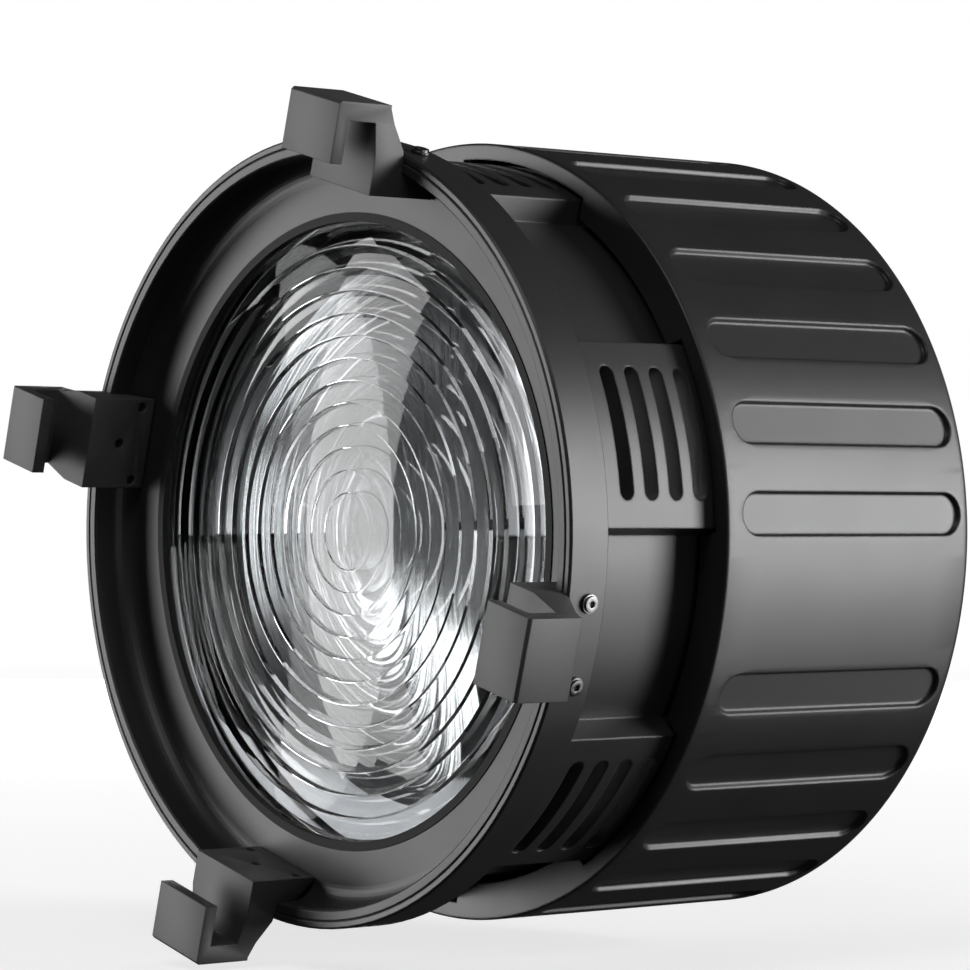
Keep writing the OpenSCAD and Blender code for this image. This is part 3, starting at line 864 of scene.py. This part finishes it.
class FRESNEL_OT_stage(bpy.types.Operator):
    """Add the floor, the lamps and the camera"""

    bl_idname = "fresnel.stage"
    bl_label = "Studio"

    def execute(self, context):
        s = context.scene.fresnel_studio
        lowest = cad_box[0].z
        bpy.ops.mesh.primitive_circle_add(vertices=96, radius=14, fill_type="NGON",
                                          location=(0, 0, lowest - 0.002))
        floor = context.object
        floor.name = "floor"
        floor.data.materials.append(floor_with_painted_glow("floor_with_painted_glow", s.backdrop))
        floor.visible_glossy = False
        floor.visible_diffuse = False
        floor.visible_transmission = False

        world = bpy.data.worlds.new("studio")
        context.scene.world = world
        world.use_nodes = True
        tree = world.node_tree
        tree.nodes.clear()
        out = tree.nodes.new("ShaderNodeOutputWorld")
        seen = tree.nodes.new("ShaderNodeBackground")
        seen.inputs["Color"].default_value = (1, 1, 1, 1)
        fill = tree.nodes.new("ShaderNodeBackground")
        fill.inputs["Color"].default_value = (1, 1, 1, 1)
        fill.inputs["Strength"].default_value = 0.035
        rays = tree.nodes.new("ShaderNodeLightPath")
        mix = tree.nodes.new("ShaderNodeMixShader")
        tree.links.new(rays.outputs["Is Camera Ray"], mix.inputs[0])
        tree.links.new(fill.outputs[0], mix.inputs[1])
        tree.links.new(seen.outputs[0], mix.inputs[2])
        tree.links.new(mix.outputs[0], out.inputs["Surface"])

        for lamp in LAMPS:
            softbox(*lamp)

        look = Vector((math.sin(s.azimuth) * math.cos(s.elevation),
                       -math.cos(s.azimuth) * math.cos(s.elevation), math.sin(s.elevation)))
        aim = Vector((0, RIM_FRONT + s.aim_depth, s.aim_rise))
        bpy.ops.object.camera_add(location=aim + look * s.distance)
        camera = context.object
        turn = (-look).to_track_quat("-Z", "Y").to_matrix() @ Matrix.Rotation(s.roll, 3, "Z")
        camera.rotation_mode = "QUATERNION"
        camera.rotation_quaternion = turn.to_quaternion()
        camera.data.lens = s.lens
        camera.data.sensor_width = 36
        camera.data.clip_start, camera.data.clip_end = 0.05, 60
        context.scene.camera = camera
        context.scene.view_settings.view_transform = "Standard"
        return {"FINISHED"}


class FRESNEL_PT_panel(bpy.types.Panel):
    """Lists the steps that build the lens attachment"""

    bl_idname = "FRESNEL_PT_panel"
    bl_label = "Fresnel lens attachment"
    bl_space_type = "VIEW_3D"
    bl_region_type = "UI"
    bl_category = "Fresnel"

    def draw(self, context):
        scene = context.scene
        for group in (scene.fresnel_finish, scene.fresnel_lens, scene.fresnel_sleeve,
                      scene.fresnel_bracket, scene.fresnel_studio):
            for name in type(group).__annotations__:
                self.layout.prop(group, name)
        for step in STEPS:
            self.layout.operator(step.bl_idname)


STEPS = (FRESNEL_OT_finishes, FRESNEL_OT_lens, FRESNEL_OT_sleeve, FRESNEL_OT_brackets,
         FRESNEL_OT_screws, FRESNEL_OT_stage)
CLASSES = (FinishSettings, LensSettings, SleeveSettings, BracketSettings, StudioSettings,
           *STEPS, FRESNEL_PT_panel)


def register():
    for item in CLASSES:
        bpy.utils.register_class(item)
    bpy.types.Scene.fresnel_finish = PointerProperty(type=FinishSettings)
    bpy.types.Scene.fresnel_lens = PointerProperty(type=LensSettings)
    bpy.types.Scene.fresnel_sleeve = PointerProperty(type=SleeveSettings)
    bpy.types.Scene.fresnel_bracket = PointerProperty(type=BracketSettings)
    bpy.types.Scene.fresnel_studio = PointerProperty(type=StudioSettings)


def unregister():
    del bpy.types.Scene.fresnel_studio
    del bpy.types.Scene.fresnel_bracket
    del bpy.types.Scene.fresnel_sleeve
    del bpy.types.Scene.fresnel_lens
    del bpy.types.Scene.fresnel_finish
    for item in reversed(CLASSES):
        bpy.utils.unregister_class(item)


def main():
    register()
    bpy.ops.fresnel.finishes()
    bpy.ops.fresnel.lens()
    bpy.ops.fresnel.sleeve()
    bpy.ops.fresnel.brackets()
    bpy.ops.fresnel.screws()
    bpy.ops.fresnel.stage()


if __name__ == "__main__":
    main()
